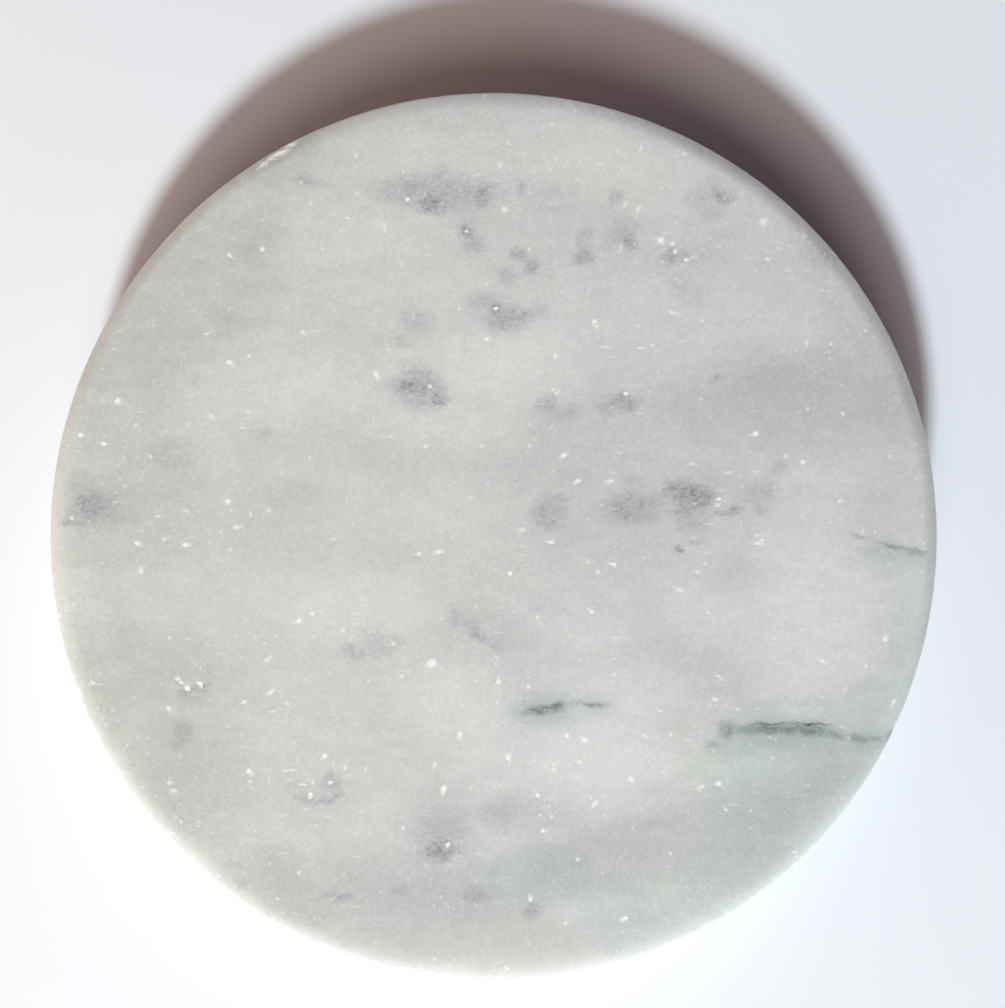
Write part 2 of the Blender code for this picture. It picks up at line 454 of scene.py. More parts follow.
# %% Graphite freckles: hazes, and the denser clumps inside them
FRECKLES = (
    (-6.2, 38.8, 8.4, 2.7, -2, 0.5), (-6.8, 37.4, 2.2, 1.5, 10, 0.95),
    (-9.5, 39.1, 1.6, 1.1, -20, 0.62), (-1.2, 38.3, 1.4, 1.6, 10, 0.86),
    (-11.5, 38.4, 1.6, 0.7, -4, 0.4), (-5.9, 41, 1.1, 0.9, 30, 0.45), (-3, 38.8, 2.4, 1.6, 0, 0.56),
    (3.3, 39.5, 0.9, 1.4, 10, 0.44), (6.4, 38.4, 3.6, 2, 0, 0.14), (-3.1, 34.2, 1.1, 0.9, 0, 1),
    (-2.6, 33.1, 1.9, 1.3, -20, 0.45), (2.7, 31.7, 1.3, 1, -35, 0.62), (4.1, 30.4, 1.1, 0.9, 10, 0.82),
    (2, 29.2, 1.7, 1.1, 0, 0.42), (0.1, 25.5, 1.1, 1, 0, 0.95), (3.3, 25.1, 1.3, 0.8, 10, 0.9),
    (1.7, 24.2, 3.2, 1.9, 8, 0.66), (-1.4, 26.5, 1.6, 1.5, 0, 0.36), (4.6, 25.4, 1.5, 1.3, 0, 0.42),
    (-8.8, 24.4, 2.6, 2, 0, 0.32), (-10.4, 21.9, 0.9, 0.9, 0, 0.32), (-9.6, 16.9, 1.5, 1.5, -20, 1),
    (-8.3, 16.4, 1.3, 1.4, 0, 0.76), (-6.3, 15.5, 1.8, 1.2, -15, 0.92), (-8, 16.7, 4.1, 2.8, -32, 0.6),
    (-21, 40.2, 1.6, 0.7, -8, 0.4), (-29.5, 24.2, 3.2, 1.7, -5, 0.17), (-26, 34, 3.2, 4.4, -15, 0.22),
    (9, 36, 5, 3, 0, 0.1), (14, 34.2, 2.6, 2, 50, 0.36), (15.1, 33.2, 1.2, 1.1, 0, 0.72),
    (9.9, 31.3, 1.6, 1.1, 0, 0.8), (10, 33.6, 1.2, 1.8, 0, 0.34), (19.8, 31.7, 1.1, 1.3, 0, 0.74),
    (21.3, 31.4, 1.4, 1, 0, 0.42), (25.7, 38.2, 1.6, 1.3, 10, 0.76), (24, 38.6, 3.2, 1.9, 20, 0.34),
    (24.4, 36.4, 1.5, 1.1, 0, 0.36), (13.4, 38, 1.1, 1, 45, 0.48), (22, 27.6, 3.2, 2, -10, 0.2),
    (36.4, 31.4, 2.8, 2, -45, 0.42), (25.2, 18, 0.7, 0.5, 0, 0.8), (29.6, 17.6, 6, 1.8, 5, 0.2),
    (6.3, 2.8, 2.6, 2.5, 0, 0.48), (5.4, 3.2, 1, 1.1, 0, 0.66), (6.4, 1.4, 1.2, 1, 0, 0.56),
    (7.8, 4.3, 1.5, 0.9, 0, 0.48), (14.7, 3, 2, 1.7, 0, 0.85), (16.7, 3.7, 1.6, 1.3, 0, 0.66),
    (15.7, 3.3, 4.6, 2.6, 4, 0.6), (15.9, 6.2, 1.9, 1.3, 0, 0.3), (22.3, 4.7, 3.4, 1.9, -3, 1),
    (20, 5, 1.7, 1.4, 0, 0.8), (23.9, 4.4, 1.2, 1.2, 0, 1), (21.3, 2.9, 1.8, 1, 20, 0.66),
    (22.4, 1.9, 2.7, 2.3, 0, 0.4), (20.9, -1.2, 0.9, 0.7, 0, 0.86), (22.9, -0.6, 1.1, 0.5, 10, 0.5),
    (26.4, 2.8, 2.3, 0.6, 6, 0.66), (30, 5, 2.7, 1.9, 20, 0.36), (31.8, 7.6, 1, 1.1, 0, 0.44),
    (29.8, 3.1, 1.2, 0.9, 0, 0.42), (27, -4.2, 3.9, 2.6, 0, 0.16), (14.3, 15.1, 2.5, 1.3, 5, 0.62),
    (12.6, 14.3, 1.4, 1, 0, 0.46), (6.2, 14.8, 1.6, 1.2, 0, 0.5), (8.3, 13.9, 1.9, 1.3, 0, 0.42),
    (-36.3, 9.6, 3.2, 2.3, 0, 0.3), (-25.7, 11.4, 1.5, 0.9, 0, 0.34), (-44.9, 3.4, 3.2, 2.6, 0, 0.78),
    (-45.2, 3, 1.7, 1.5, 0, 0.9), (-46.5, 6, 2.5, 2, 0, 0.34), (-47.3, 1.6, 2, 0.8, 0, 0.62),
    (-42.2, 2.4, 2.2, 1.2, -8, 0.4), (-22.5, 5, 3.8, 2.1, 0, 0.16), (-3.6, -9.6, 2.7, 1.5, -35, 0.34),
    (-1.9, -11.1, 1.5, 1, -30, 0.56), (0.3, -12.4, 1.8, 0.9, -35, 0.36),
    (-12.9, -11.8, 2.9, 2.1, 0, 0.34), (-16, -12.9, 1.9, 1, 0, 0.44), (-18.3, -27.4, 1.6, 1.1, 0, 0.52),
    (-21, -29.3, 2.2, 0.7, -8, 0.5), (-18.6, -29.2, 1.9, 0.7, 25, 0.62), (-6, -35.2, 2.9, 1.4, 5, 1),
    (-5.3, -34.4, 1.3, 0.9, 20, 0.84), (-6, -33.6, 4.4, 3.3, 15, 0.34), (0.4, -31, 2.8, 1.9, 0, 0.26),
    (-1.9, -40.1, 2.1, 1.3, 0, 0.56), (-17.3, -40.3, 2.4, 0.5, -3, 0.56),
    (-10.6, -39.8, 1.6, 0.8, 0, 0.4), (4.2, -42, 1.3, 1.5, 30, 0.66), (-28.2, -39, 1.2, 0.9, 0, 0.34),
    (-35, -22, 1.4, 2.2, -20, 0.42), (-32.8, -16.7, 0.8, 0.6, 0, 0.74), (-34, -17.5, 2, 0.7, 0, 0.54),
    (-33.6, -18.3, 2.4, 1.2, 0, 0.26),
)
BACK_FRECKLES = (
    (-30, 12, 6.5, 3, -8, 0.6), (-27, 11.2, 2.2, 1.4, 0, 0.85), (4, -24, 8, 3, 4, 0.55),
    (6, -23.5, 2.4, 1.3, 10, 0.9), (22, 15, 5, 2.6, 20, 0.5), (-12, 30, 5.5, 2.4, -5, 0.45),
    (-9, 29, 1.6, 1.2, 0, 0.8), (33, -12, 4, 2, -15, 0.55), (-36, -18, 5, 2.4, 10, 0.5),
    (12, 37, 4.4, 1.8, 0, 0.6), (0, 6, 3.4, 2, 0, 0.4), (-15, -39, 4.6, 1.8, 6, 0.6),
)
print(len(FRECKLES), "freckles on the face,", len(BACK_FRECKLES), "on the back")

# %% Green-black seams, with their softer haloes and their hair-thin dark lines
SEAMS = (
    (5.2, -19.4, 3.3, 0.85, 8, 0.8), (7, -19, 1.7, 0.9, 10, 0.85), (11.3, -18.8, 2.8, 0.62, -5, 0.5),
    (30.6, -21.5, 4.2, 1.15, 2, 0.8), (35.2, -21.6, 4, 1.2, -5, 0.85), (38.2, -22.2, 1.8, 1, -20, 0.6),
    (26.2, -21.6, 1.6, 1.6, 0, 0.6), (24.6, -23.3, 1.4, 1, 50, 0.34), (41, -22.7, 2.3, 0.75, -4, 0.52),
    (44.5, -22.9, 1.3, 1.3, 0, 0.7), (41, 0.2, 1.6, 0.45, -18, 0.42), (45, -1.15, 1.7, 0.6, -12, 0.48),
    (47.4, -1.6, 2, 0.75, -10, 0.55), (28.2, -21.7, 2.4, 1, 0, 0.55), (33, -21.6, 2.2, 1, 0, 0.72),
    (9.2, -18.7, 1.8, 0.6, 0, 0.34), (42.9, -22.8, 1.8, 0.6, -5, 0.45),
)
SEAM_HALOES = (
    (6, -19.4, 5.6, 2.8, 6, 0.5), (11.5, -19, 3.8, 1.9, -4, 0.32), (32, -22.3, 10.4, 3.2, 0, 0.62),
    (26, -22.6, 3.4, 2.8, 30, 0.42), (42.5, -23.2, 5, 2.4, -4, 0.38), (45, -1.9, 6.5, 2.4, -12, 0.32),
)
HAIRLINES = (
    (30.8, -21, 3.6, 0.26, 3, 0.95), (35.4, -21, 3.8, 0.28, -4, 1), (5.4, -19.3, 3, 0.3, 8, 0.9),
    (11.1, -18.75, 2.2, 0.22, -4, 0.75), (45.4, -1.2, 3.4, 0.24, -11, 0.6),
    (41.4, -22.6, 2, 0.22, -3, 0.45),
)
print(len(SEAMS) + len(HAIRLINES), "parts of seams")

# %% Crystals whose flash is painted as bright colour, a painted glint: x, y, half length, half width, turn, brightness
FLAKES = (
    (-7, -14.2, 0.59, 0.52, 20, 1), (-40.2, -0.7, 0.28, 0.25, 5, 1), (29.4, 11.6, 0.38, 0.33, 0, 1),
    (18.7, 33.3, 0.43, 0.38, 10, 1), (20.1, 33, 0.31, 0.27, -10, 0.99), (-26, 32.3, 0.32, 0.29, 0, 1),
    (-29.7, 19.6, 0.36, 0.32, 0, 0.99), (-29.8, 31.7, 0.29, 0.25, 30, 0.88),
    (-46.4, 11.4, 0.31, 0.27, 0, 0.99), (-43.7, 10.4, 0.32, 0.29, 0, 0.99),
    (-42.3, 15.4, 0.34, 0.3, 5, 0.99), (-29.9, 4, 0.34, 0.3, 8, 0.88),
    (-34.7, -0.9, 0.34, 0.3, 0, 0.88), (-37.5, 2.3, 0.3, 0.26, 0, 0.66),
    (-34.3, 2.9, 0.24, 0.21, 0, 0.66), (-31.8, 13.6, 0.26, 0.23, 0, 0.55),
    (-27.6, 14, 0.26, 0.23, 0, 0.55), (-25.3, 3, 0.26, 0.23, 0, 0.55), (-29, 1.1, 0.31, 0.27, 0, 0.66),
    (-39.6, -3.9, 0.31, 0.27, 0, 0.66), (-27.5, 20.3, 0.24, 0.21, 0, 0.66),
    (-47.4, 2.1, 0.26, 0.23, 0, 0.66), (-21.9, -9.4, 0.34, 0.3, 0, 1),
    (-20.4, -8.6, 0.28, 0.25, 0, 0.77), (-19, -24.6, 0.31, 0.27, 0, 1), (-27.5, -26.3, 0.34, 0.3, 0, 1),
    (-27.5, -27.4, 0.2, 0.18, 0, 0.7), (-5.6, -28.2, 0.4, 0.35, -10, 1),
    (-2.7, -28.2, 0.22, 0.19, 0, 0.88), (-3.8, -22.1, 0.34, 0.3, -30, 0.77),
    (0.5, -16.3, 0.32, 0.29, -40, 0.88), (1.6, -24.9, 0.34, 0.3, 0, 0.88),
    (-11.3, -12, 0.29, 0.25, 0, 0.66), (-28, -18.5, 0.28, 0.25, 0, 0.77),
    (-25, -17.4, 0.24, 0.21, 0, 0.77), (-25.5, -13.8, 0.3, 0.26, 20, 0.66),
    (-21.5, -27.8, 0.56, 0.14, -5, 0.66), (-23, -26.2, 0.99, 0.13, 3, 0.66),
    (-24.8, -19.6, 0.41, 0.13, 10, 0.55), (-6.6, -25.5, 0.26, 0.23, 0, 0.66),
    (-10.2, -32.7, 0.28, 0.25, 0, 0.55), (-36.6, -19.2, 0.3, 0.26, 0, 0.77),
    (-35.8, -28.4, 0.31, 0.27, 0, 0.66), (-45, -16.4, 0.28, 0.25, 0, 0.66),
    (-16.9, -10.5, 0.28, 0.25, 0, 0.55), (10.2, -22.8, 0.4, 0.35, 0, 1),
    (8.2, -22.3, 0.29, 0.25, 0, 0.88), (16.9, -22.3, 0.24, 0.21, 0, 0.66),
    (9.6, -25.3, 0.28, 0.25, 0, 0.66), (15.4, -27.1, 0.32, 0.29, 0, 0.88),
    (4.9, -29, 0.31, 0.27, 0, 0.88), (11.3, -30, 0.67, 0.2, 50, 0.66),
    (12.5, -31.2, 0.22, 0.19, 0, 0.55), (5.5, -33, 0.29, 0.25, 0, 0.88),
    (9.4, -36.2, 0.3, 0.26, 0, 0.66), (4.1, -40.7, 0.28, 0.25, 0, 0.88),
    (14.8, -42.8, 0.28, 0.25, 0, 0.88), (25.2, -27.7, 0.38, 0.33, 0, 0.99),
    (23.4, -28, 0.3, 0.26, 0, 0.66), (26.1, -30.7, 0.3, 0.26, 0, 0.66),
    (3.9, -16.8, 0.3, 0.26, 0, 0.66), (13.5, -15.4, 0.24, 0.21, 0, 0.55),
    (18.6, -19.5, 0.41, 0.14, -10, 0.66), (25.1, -15.6, 0.26, 0.23, 0, 0.66),
    (38.4, -9.2, 0.18, 0.16, -20, 0.7), (43.9, -11.5, 0.31, 0.27, 0, 1),
    (44.9, -18.5, 0.29, 0.25, 30, 0.66), (27.4, -19.3, 0.3, 0.26, 0, 0.55),
    (22.2, 8.2, 0.26, 0.23, 0, 0.88), (13.2, 6.3, 0.29, 0.25, 0, 0.77),
    (9.5, 6.3, 0.31, 0.27, 10, 0.88), (7.9, 9.2, 0.32, 0.29, 0, 0.99), (7, 16.1, 0.24, 0.21, 0, 0.55),
    (14.8, 16.1, 0.3, 0.26, 0, 0.99), (25.2, 3.6, 0.28, 0.25, 10, 0.55),
    (6.5, -0.6, 0.28, 0.25, 0, 0.88), (3.2, 0.8, 0.38, 0.33, 0, 0.55), (13.5, -3.1, 0.3, 0.26, 0, 1),
    (1.8, -4.1, 0.32, 0.29, 0, 0.99), (23, -4, 0.28, 0.25, 0, 0.66), (29.5, 0.2, 0.3, 0.26, 0, 0.55),
    (29.8, -0.7, 0.24, 0.21, 0, 0.77), (21, -6, 0.31, 0.27, 0, 0.66), (11, -8.4, 0.3, 0.26, 0, 0.77),
    (4.9, -9, 0.24, 0.21, 0, 0.77), (24, -8.5, 0.24, 0.21, 0, 0.55), (34.7, 8.4, 0.3, 0.26, 0, 0.88),
    (26.3, 7.2, 0.24, 0.21, 0, 0.55), (11.3, 24.2, 0.32, 0.29, 0, 0.99),
    (30.2, 35.5, 0.26, 0.23, 0, 0.88), (34.9, 33.8, 0.28, 0.25, 0, 0.66),
    (30.7, 31.2, 0.3, 0.26, 0, 0.77), (14.8, 37.5, 0.24, 0.21, 0, 0.77),
    (16.2, 36.8, 0.26, 0.23, 30, 0.66), (20.1, 25.2, 0.81, 0.16, -12, 0.66),
    (12.6, 21.3, 0.99, 0.12, -3, 0.55), (16.5, 21.2, 0.56, 0.15, 0, 0.66),
    (17.8, 21.5, 0.24, 0.21, 0, 0.66), (6.9, 20.3, 0.29, 0.25, 0, 0.88),
    (35.3, 21.5, 0.18, 0.16, 0, 0.7), (16.5, 43.7, 0.28, 0.25, 20, 0.66),
    (21.4, 43, 0.3, 0.26, 10, 0.55), (21.6, 31.1, 0.29, 0.25, 0, 0.88), (-9.7, 37.9, 0.28, 0.25, 0, 1),
    (1.2, 36.8, 0.45, 0.4, -30, 0.66), (-13.2, 18.2, 0.28, 0.25, 0, 0.99),
    (-0.8, 22.2, 0.32, 0.29, 0, 0.99), (0.7, 41.8, 0.26, 0.23, 0, 0.66),
    (-15.3, 38.5, 0.31, 0.27, 0, 0.55), (-16.4, 35.8, 0.56, 0.14, -12, 0.55),
    (-21.5, 23, 0.32, 0.29, 0, 0.55), (-12.3, 34.9, 0.24, 0.21, 0, 0.55),
    (-7.2, 16.9, 0.3, 0.26, 0, 0.66), (-34.4, -17, 0.38, 0.33, -20, 0.99),
    (-35.5, -15.9, 0.32, 0.29, 10, 0.88), (-33.2, -16.4, 0.3, 0.26, 0, 0.66),
    (-6.2, -1.7, 0.29, 0.25, 0, 1), (-8.4, -1.9, 0.28, 0.25, 0, 0.88), (-1.9, 36.4, 0.2, 0.18, 0, 0.5),
    (38.8, 4, 0.3, 0.26, 0, 0.66),
)
NESTS = (  # where small crystals crowd together
    (-18, -9, 9, 5, 0, 1), (20, 33, 9, 6, 0, 0.9), (-42, 10, 8, 8, 0, 0.7), (-33, 1, 9, 4, 0, 0.8),
    (-33, -17, 5, 4, 0, 0.9), (-20, -27, 8, 4, 10, 0.8), (-2, -15, 6, 4, -20, 0.9),
    (12, -27, 10, 6, 0, 0.7), (29, 3, 6, 5, 0, 0.6), (-8, 16, 6, 4, -30, 0.6),
    (30, 36, 12, 6, -40, 0.9), (-2, -37, 10, 5, 0, 0.6), (-30, -34, 12, 5, -40, 0.7),
    (-44, -20, 4, 10, 20, 0.7), (5, 41, 14, 5, 0, 0.6), (40, 24, 6, 12, 30, 0.6),
)
print(len(FLAKES), "bright crystals,", len(NESTS), "nests")

# %% [markdown]
# ## Knocks and finer mesh
#
# Marble is soft and its crystals cleave, so its edge loses small scallops, and single crystals
# are plucked out of a honed face. Both are the same operation at different sizes: every point
# inside an oval is pushed in along one direction to a shallow bowl, roughened a little so that
# its floor is not smooth. A vertex layer remembers where fresh stone shows, because a fresh
# break is whiter than a honed face.
#
# A bowl of half a millimetre needs points much closer than that, and so do the crystals and
# freckles that are painted later. Dividing the whole stone would cost millions of faces, so
# only the neighbourhoods that need it are divided.

# %% Chips in the rim and pits in the face
CHIPS = (  # angle, slant, inset, half length, half width, depth, in degrees and millimetres
    (119.6, 72, 0.75, 1.75, 0.5, 0.3), (117.6, 66, 0.45, 0.8, 0.42, 0.22),
    (121.8, 68, 0.9, 0.7, 0.45, 0.2), (200.4, 40, 0, 0.85, 0.6, 0.34), (202.6, 35, 0, 0.5, 0.4, 0.2),
    (235.8, 45, 0, 1.35, 0.5, 0.28), (238.4, 35, 0, 0.55, 0.4, 0.2), (39.5, 60, 0.1, 0.55, 0.4, 0.14),
    (307, 48, 0.1, 0.6, 0.42, 0.16), (335, 20, 0, 0.7, 0.45, 0.2), (75, 25, 0, 0.6, 0.4, 0.16),
    (162, 30, 0, 0.55, 0.38, 0.14), (221, 45, 0.1, 0.7, 0.45, 0.16), (229.5, 40, 0, 0.6, 0.4, 0.16),
    (212, 35, 0, 0.45, 0.35, 0.14),
)
PITS = (  # x, y, half length
    (-32.9, -16.7, 0.4), (-35.1, -16.4, 0.3), (-20.6, -29.1, 0.4), (-18.4, -27.6, 0.32),
    (20.3, 32, 0.34), (-5.2, -34.6, 0.34), (25.2, 4.2, 0.34), (0.2, 25.6, 0.3), (-3.1, 34.3, 0.26),
    (11.5, 23.6, 0.3), (36.8, -14, 0.24), (-14.4, -26.2, 0.22),
)
LOWER_CHIPS = 9
PIT_DEPTH = 0.12 * MM
STRAIGHT_DOWN = Vector((0, 0, -1))


def rim_point(angle, slant, inset=0.0, top=True):
    """A point inset from the rim, and the way into the stone; slant 90 is down, 0 inwards."""
    around, lift = math.radians(angle), math.radians(slant)
    outward = Vector((math.cos(around), math.sin(around), 0))
    normal = outward * math.cos(lift) + Vector((0, 0, 1 if top else -1)) * math.sin(lift)
    if top:
        centre = outward * (RADIUS - inset * MM)
        centre.z = eased_height(RADIUS - inset * MM)
    else:
        centre = outward * (RADIUS - LOWER_ARRIS) + Vector((0, 0, BACK_Z + LOWER_ARRIS))
        centre += normal * LOWER_ARRIS
    return centre, -normal, Vector((-math.sin(around), math.cos(around), 0))


def all_knocks():
    """(centre, inward, along, half length, half width, depth) of every chip and pit."""
    knocks = []
    for angle, slant, inset, length, width, depth in CHIPS:
        place = rim_point(angle, slant, inset)
        knocks.append((*place, length * MM, width * MM, depth * MM))
    dice = random.Random(7)
    for number in range(LOWER_CHIPS):
        angle = 360 * (number + dice.uniform(-0.35, 0.35)) / LOWER_CHIPS
        length = dice.uniform(0.45, 1.1) * MM
        where = rim_point(angle, dice.uniform(30, 70), top=False)
        knocks.append((*where, length, 0.5 * length, 0.2 * length))
    for x, y, length in PITS:
        centre, along = Vector((x * MM, y * MM, FACE_Z)), Vector((math.cos(x), math.sin(x), 0))
        knocks.append((centre, STRAIGHT_DOWN, along, length * MM, 0.7 * length * MM, PIT_DEPTH))
    return knocks


KNOCKS = all_knocks()
print(len(KNOCKS), "knocks")

# %% Divide the mesh only where small things will be
def point_tree(points):
    """A search tree over a list of points."""
    tree = KDTree(len(points))
    for index, point in enumerate(points):
        tree.insert(point, index)
    tree.balance()
    return tree


def refine(shape, places, cuts):
    """Cut the edges near each (centre, reach) into cuts + 1 parts."""
    verts = list(shape.verts)
    tree = point_tree([v.co for v in verts])
    near = set()
    for centre, reach in places:
        near.update(verts[index] for _, index, _ in tree.find_range(centre, reach))
    edges = [e for e in shape.edges if e.verts[0] in near and e.verts[1] in near]
    bmesh.ops.subdivide_edges(shape, edges=edges, cuts=cuts, use_grid_fill=True)


def on_face(row, extra):
    """Centre and reach, in metres, of a row placed on the face."""
    return Vector((row[0] * MM, row[1] * MM, FACE_Z)), (max(row[2], row[3]) + extra) * MM


refine(stone, [on_face(row, 0.3) for row in FRECKLES if max(row[2], row[3]) < 3.5], 1)
small = [on_face(row, 0.5) for row in FLAKES]
small += [(centre, max(length, width) + 0.5 * MM) for centre, _, _, length, width, _ in KNOCKS]
refine(stone, small, 4)
print(len(stone.faces), "faces after refining")

# %% Knock the chips and pits out
fresh = stone.verts.layers.float.new("fresh_break")


def knock(shape, tree, verts, centre, inward, along, length, width, depth):
    """Push an oval, length by width, in to a ragged bowl."""
    inward, along = inward.normalized(), along.normalized()
    across = inward.cross(along)
    for _, index, _ in tree.find_range(centre, 1.3 * max(length, width)):
        vert = verts[index]
        offset = vert.co - centre
        share = (offset.dot(along) / length) ** 2 + (offset.dot(across) / width) ** 2
        share *= 1 + 0.35 * noise.noise(vert.co * 1600)
        if share < 1:
            level = depth * (1 - share) ** 0.5 * (0.8 + 0.5 * noise.noise(vert.co * 3100))
            sink = level - offset.dot(inward) - 0.25 * depth
            if sink > 0:
                vert.co += inward * sink
                vert[fresh] = 1.0


verts = list(stone.verts)
tree = point_tree([v.co for v in verts])
for row in KNOCKS:
    knock(stone, tree, verts, *row)
print(sum(v[fresh] > 0 for v in verts), "points of fresh stone")

# %% [markdown]
# ### A hand-rubbed edge
#
# A turned edge is perfectly even and a rubbed one isn't. Along two stretches of the rim the
# edge was rubbed less, so it rolls off more gently there, and along two others it was rubbed
# more, which is written as a share below zero. The arris is also moved in by a few
# hundredths of a millimetre, more in some places than in others, and the wall gets a tenth of
# that. No point leaves the stone's measured size.

# %% Uneven arrises and a faint wave in the wall
LESS_RUBBED = (  # middle and half width in degrees, share that is missing
    (272, 84, 0.82), (92, 30, 0.45), (354, 30, -0.6), (149, 20, -0.5),
)
ARRIS_WEAR = 0.07 * MM
WALL_WEAR = 0.012 * MM


def rubbed_less(point):
    """How much of the roll-off is missing at a point of the rim."""
    angle = math.degrees(math.atan2(point.y, point.x))
    missing = 0.0
    for middle, half_width, share in LESS_RUBBED:
        apart = abs((angle - middle + 180) % 360 - 180)
        missing += share * min(1.0, max(0.0, 1.6 * (1 - apart / half_width)))
    return missing


for vert in stone.verts:
    radius = math.hypot(vert.co.x, vert.co.y)
    if radius < RADIUS - TOP_EASE:
        continue
    on_wall = min(1.0, max(0.0, (CORNER_Z - vert.co.z) / MM))
    drop = (FACE_Z - max(vert.co.z, eased_height(RADIUS))) * (1 - on_wall)
    vert.co.z += drop * rubbed_less(vert.co)
    below_face, above_back = FACE_Z - vert.co.z, vert.co.z - BACK_Z
    corner = math.exp(-((below_face / LOWER_ARRIS - 0.3) ** 2) * 4)
    corner += math.exp(-((above_back / LOWER_ARRIS - 0.3) ** 2) * 4)
    slow = 0.5 + 0.5 * noise.noise(vert.co * 260)
    quick = max(0.0, noise.noise(vert.co * 1300) - 0.25)
    amount = corner * ARRIS_WEAR * (0.6 * slow + 0.9 * quick) + WALL_WEAR * slow
    edge = min(1.0, (radius - RADIUS + TOP_EASE) / (0.6 * TOP_EASE))
    inward = Vector((-vert.co.x / radius, -vert.co.y / radius, 0))
    inward.z = -0.5 * corner if below_face < above_back else 0.8 * corner
    vert.co += inward * amount * edge
print("wear done, volume", round(stone.calc_volume() * 1e6, 2), "cm3")

# %% [markdown]
# ## Painting the slab onto the points
#
# Each list becomes a vertex layer that the finish can read. The painting is done in slab
# space: millimetres, slid sideways with depth because the beds dip, and nudged by noise so
# that no oval keeps a clean outline. Freckles are as deep as they are long, so one that
# reaches the rim runs on down the wall.

# %% Slab space
DIP = Vector((0.55, 0.80, 0.0))
WANDER = 0.6


def slab_place(point, wander):
    """A point in millimetres along the tilted beds, nudged by noise."""
    depth = (point.z - FACE_Z) / MM
    place = Vector((point.x / MM, point.y / MM, depth)) + DIP * depth
    drift = noise.noise_vector(place * 0.55)
    ripple = noise.noise_vector(place * 1.6)
    return place + wander * drift + 0.45 * wander * ripple


LAYERS = ("pale_cloud", "grey_cloud_and_shade", "olive_cloud", "teal_cloud", "nest", "graphite", "flake")

for name in LAYERS:
    stone.verts.layers.float.new(name)
verts = list(stone.verts)
calm_tree = point_tree([slab_place(v.co, 0.0) for v in verts])
ragged_tree = point_tree([slab_place(v.co, WANDER) for v in verts])
print("slab space for", len(verts), "points")

# %% Paint soft ovals and sharp crystals
def paint(name, tree, rows, level=0.0, plateau=1.0):
    """Raise a vertex layer to the strength of each soft oval; plateau widens its full part."""
    layer = stone.verts.layers.float.get(name)
    for x, y, length, width, turn, strength in rows:
        along = Vector((math.cos(math.radians(turn)), math.sin(math.radians(turn)), 0))
        across = Vector((-along.y, along.x, 0))
        centre, reach = Vector((x, y, level)), max(length, width)
        for place, index, _ in tree.find_range(centre, reach):
            offset = place - centre
            share = (offset.dot(along) / length) ** 2 + (offset.dot(across) / width) ** 2
            share += (offset.z / reach) ** 2
            if share < 1:
                vert = verts[index]
                vert[layer] = max(vert[layer], strength * min(1.0, plateau * (1 - share)))
    return layer


def paint_flakes(name, tree, rows):
    """Mark angular crystals: a point is inside if it is behind all of six straight sides."""
    layer = stone.verts.layers.float.get(name)
    dice = random.Random(3)
    for x, y, length, width, turn, bright in rows:
        around = math.radians(turn)
        sides = [math.tau * (side + dice.uniform(-0.18, 0.18)) / 6 for side in range(6)]
        centre = Vector((x, y, 0))
        for place, index, _ in tree.find_range(centre, 1.4 * max(length, width)):
            offset = place - centre
            u = (offset.x * math.cos(around) + offset.y * math.sin(around)) / length
            v = (offset.y * math.cos(around) - offset.x * math.sin(around)) / width
            edge = max(u * math.cos(side) + v * math.sin(side) for side in sides)
            mask = min(1.0, max(0.0, (1.0 - edge) / 0.35))
            vert = verts[index]
            vert[layer] = max(vert[layer], bright * mask)


paint("pale_cloud", calm_tree, PALE)
paint("grey_cloud_and_shade", calm_tree, GREY_CLOUDS_AND_SHADE)
paint("olive_cloud", calm_tree, OLIVE, plateau=1.5)
paint("teal_cloud", calm_tree, TEAL, plateau=2.5)
paint("nest", calm_tree, NESTS)
paint("graphite", ragged_tree, FRECKLES)
paint("graphite", ragged_tree, BACK_FRECKLES, level=(BACK_Z - FACE_Z) / MM)
# the flake layer marks crystals whose flash the finish paints as near-white colour, a painted glint
paint_flakes("flake", calm_tree, FLAKES)
print("painted:", stone.verts.layers.float.keys())

# %% [markdown]
# ### Unrolling the surface
#
# A flat layout of the surface lets the finish be saved as a picture with the model. A flat
# stone unrolls well by hand: the face with its arris is one big disc, the back is a smaller
# one, because it is seldom seen, and the wall is four straight strips beside the face.

# %% Lay the surface out flat
FACE_SCALE = 0.330 / (RADIUS + FACE_Z - CORNER_Z)
BACK_SCALE = 0.155 / (RADIUS + LOWER_ARRIS)
FACE_CENTRE, BACK_CENTRE = (0.340, 0.660), (0.835, 0.165)
STRIP_LEFT, STRIP_FOOT, STRIP_STEP = 0.700, 0.400, 0.066


def disc_place(point, scale, centre, drop):
    """Where a point of the face or back lands; drop unrolls the arris."""
    radius = max(math.hypot(point.x, point.y), WELD)
    reach = scale * (radius + drop) / radius
    return centre[0] + point.x * reach, centre[1] + point.y * reach


def strip_place(point, middle):
    """Where a point of the wall lands: one strip for each quarter turn."""
    quarter = int(((middle + math.tau) % math.tau) / (math.tau / 4)) % 4
    start = quarter * math.tau / 4
    turn = (math.atan2(point.y, point.x) - start + math.pi) % math.tau - math.pi
    across = (CORNER_Z - point.z) * FACE_SCALE
    return STRIP_LEFT + STRIP_STEP * quarter + across, STRIP_FOOT + turn * RADIUS * FACE_SCALE


layout = stone.loops.layers.uv.new("OFBake")
for face in stone.faces:
    middle = face.calc_center_median()
    for loop in face.loops:
        point = loop.vert.co
        if middle.z > CORNER_Z:
            place = disc_place(point, FACE_SCALE, FACE_CENTRE, FACE_Z - point.z)
        elif middle.z < BACK_Z + LOWER_ARRIS:
            place = disc_place(point, BACK_SCALE, BACK_CENTRE, point.z - BACK_Z)
        else:
            place = strip_place(point, math.atan2(middle.y, middle.x))
        loop[layout].uv = place
print("laid out", len(stone.faces), "faces")

# %% Turn the bmesh into a piece
SHARP = math.radians(38)


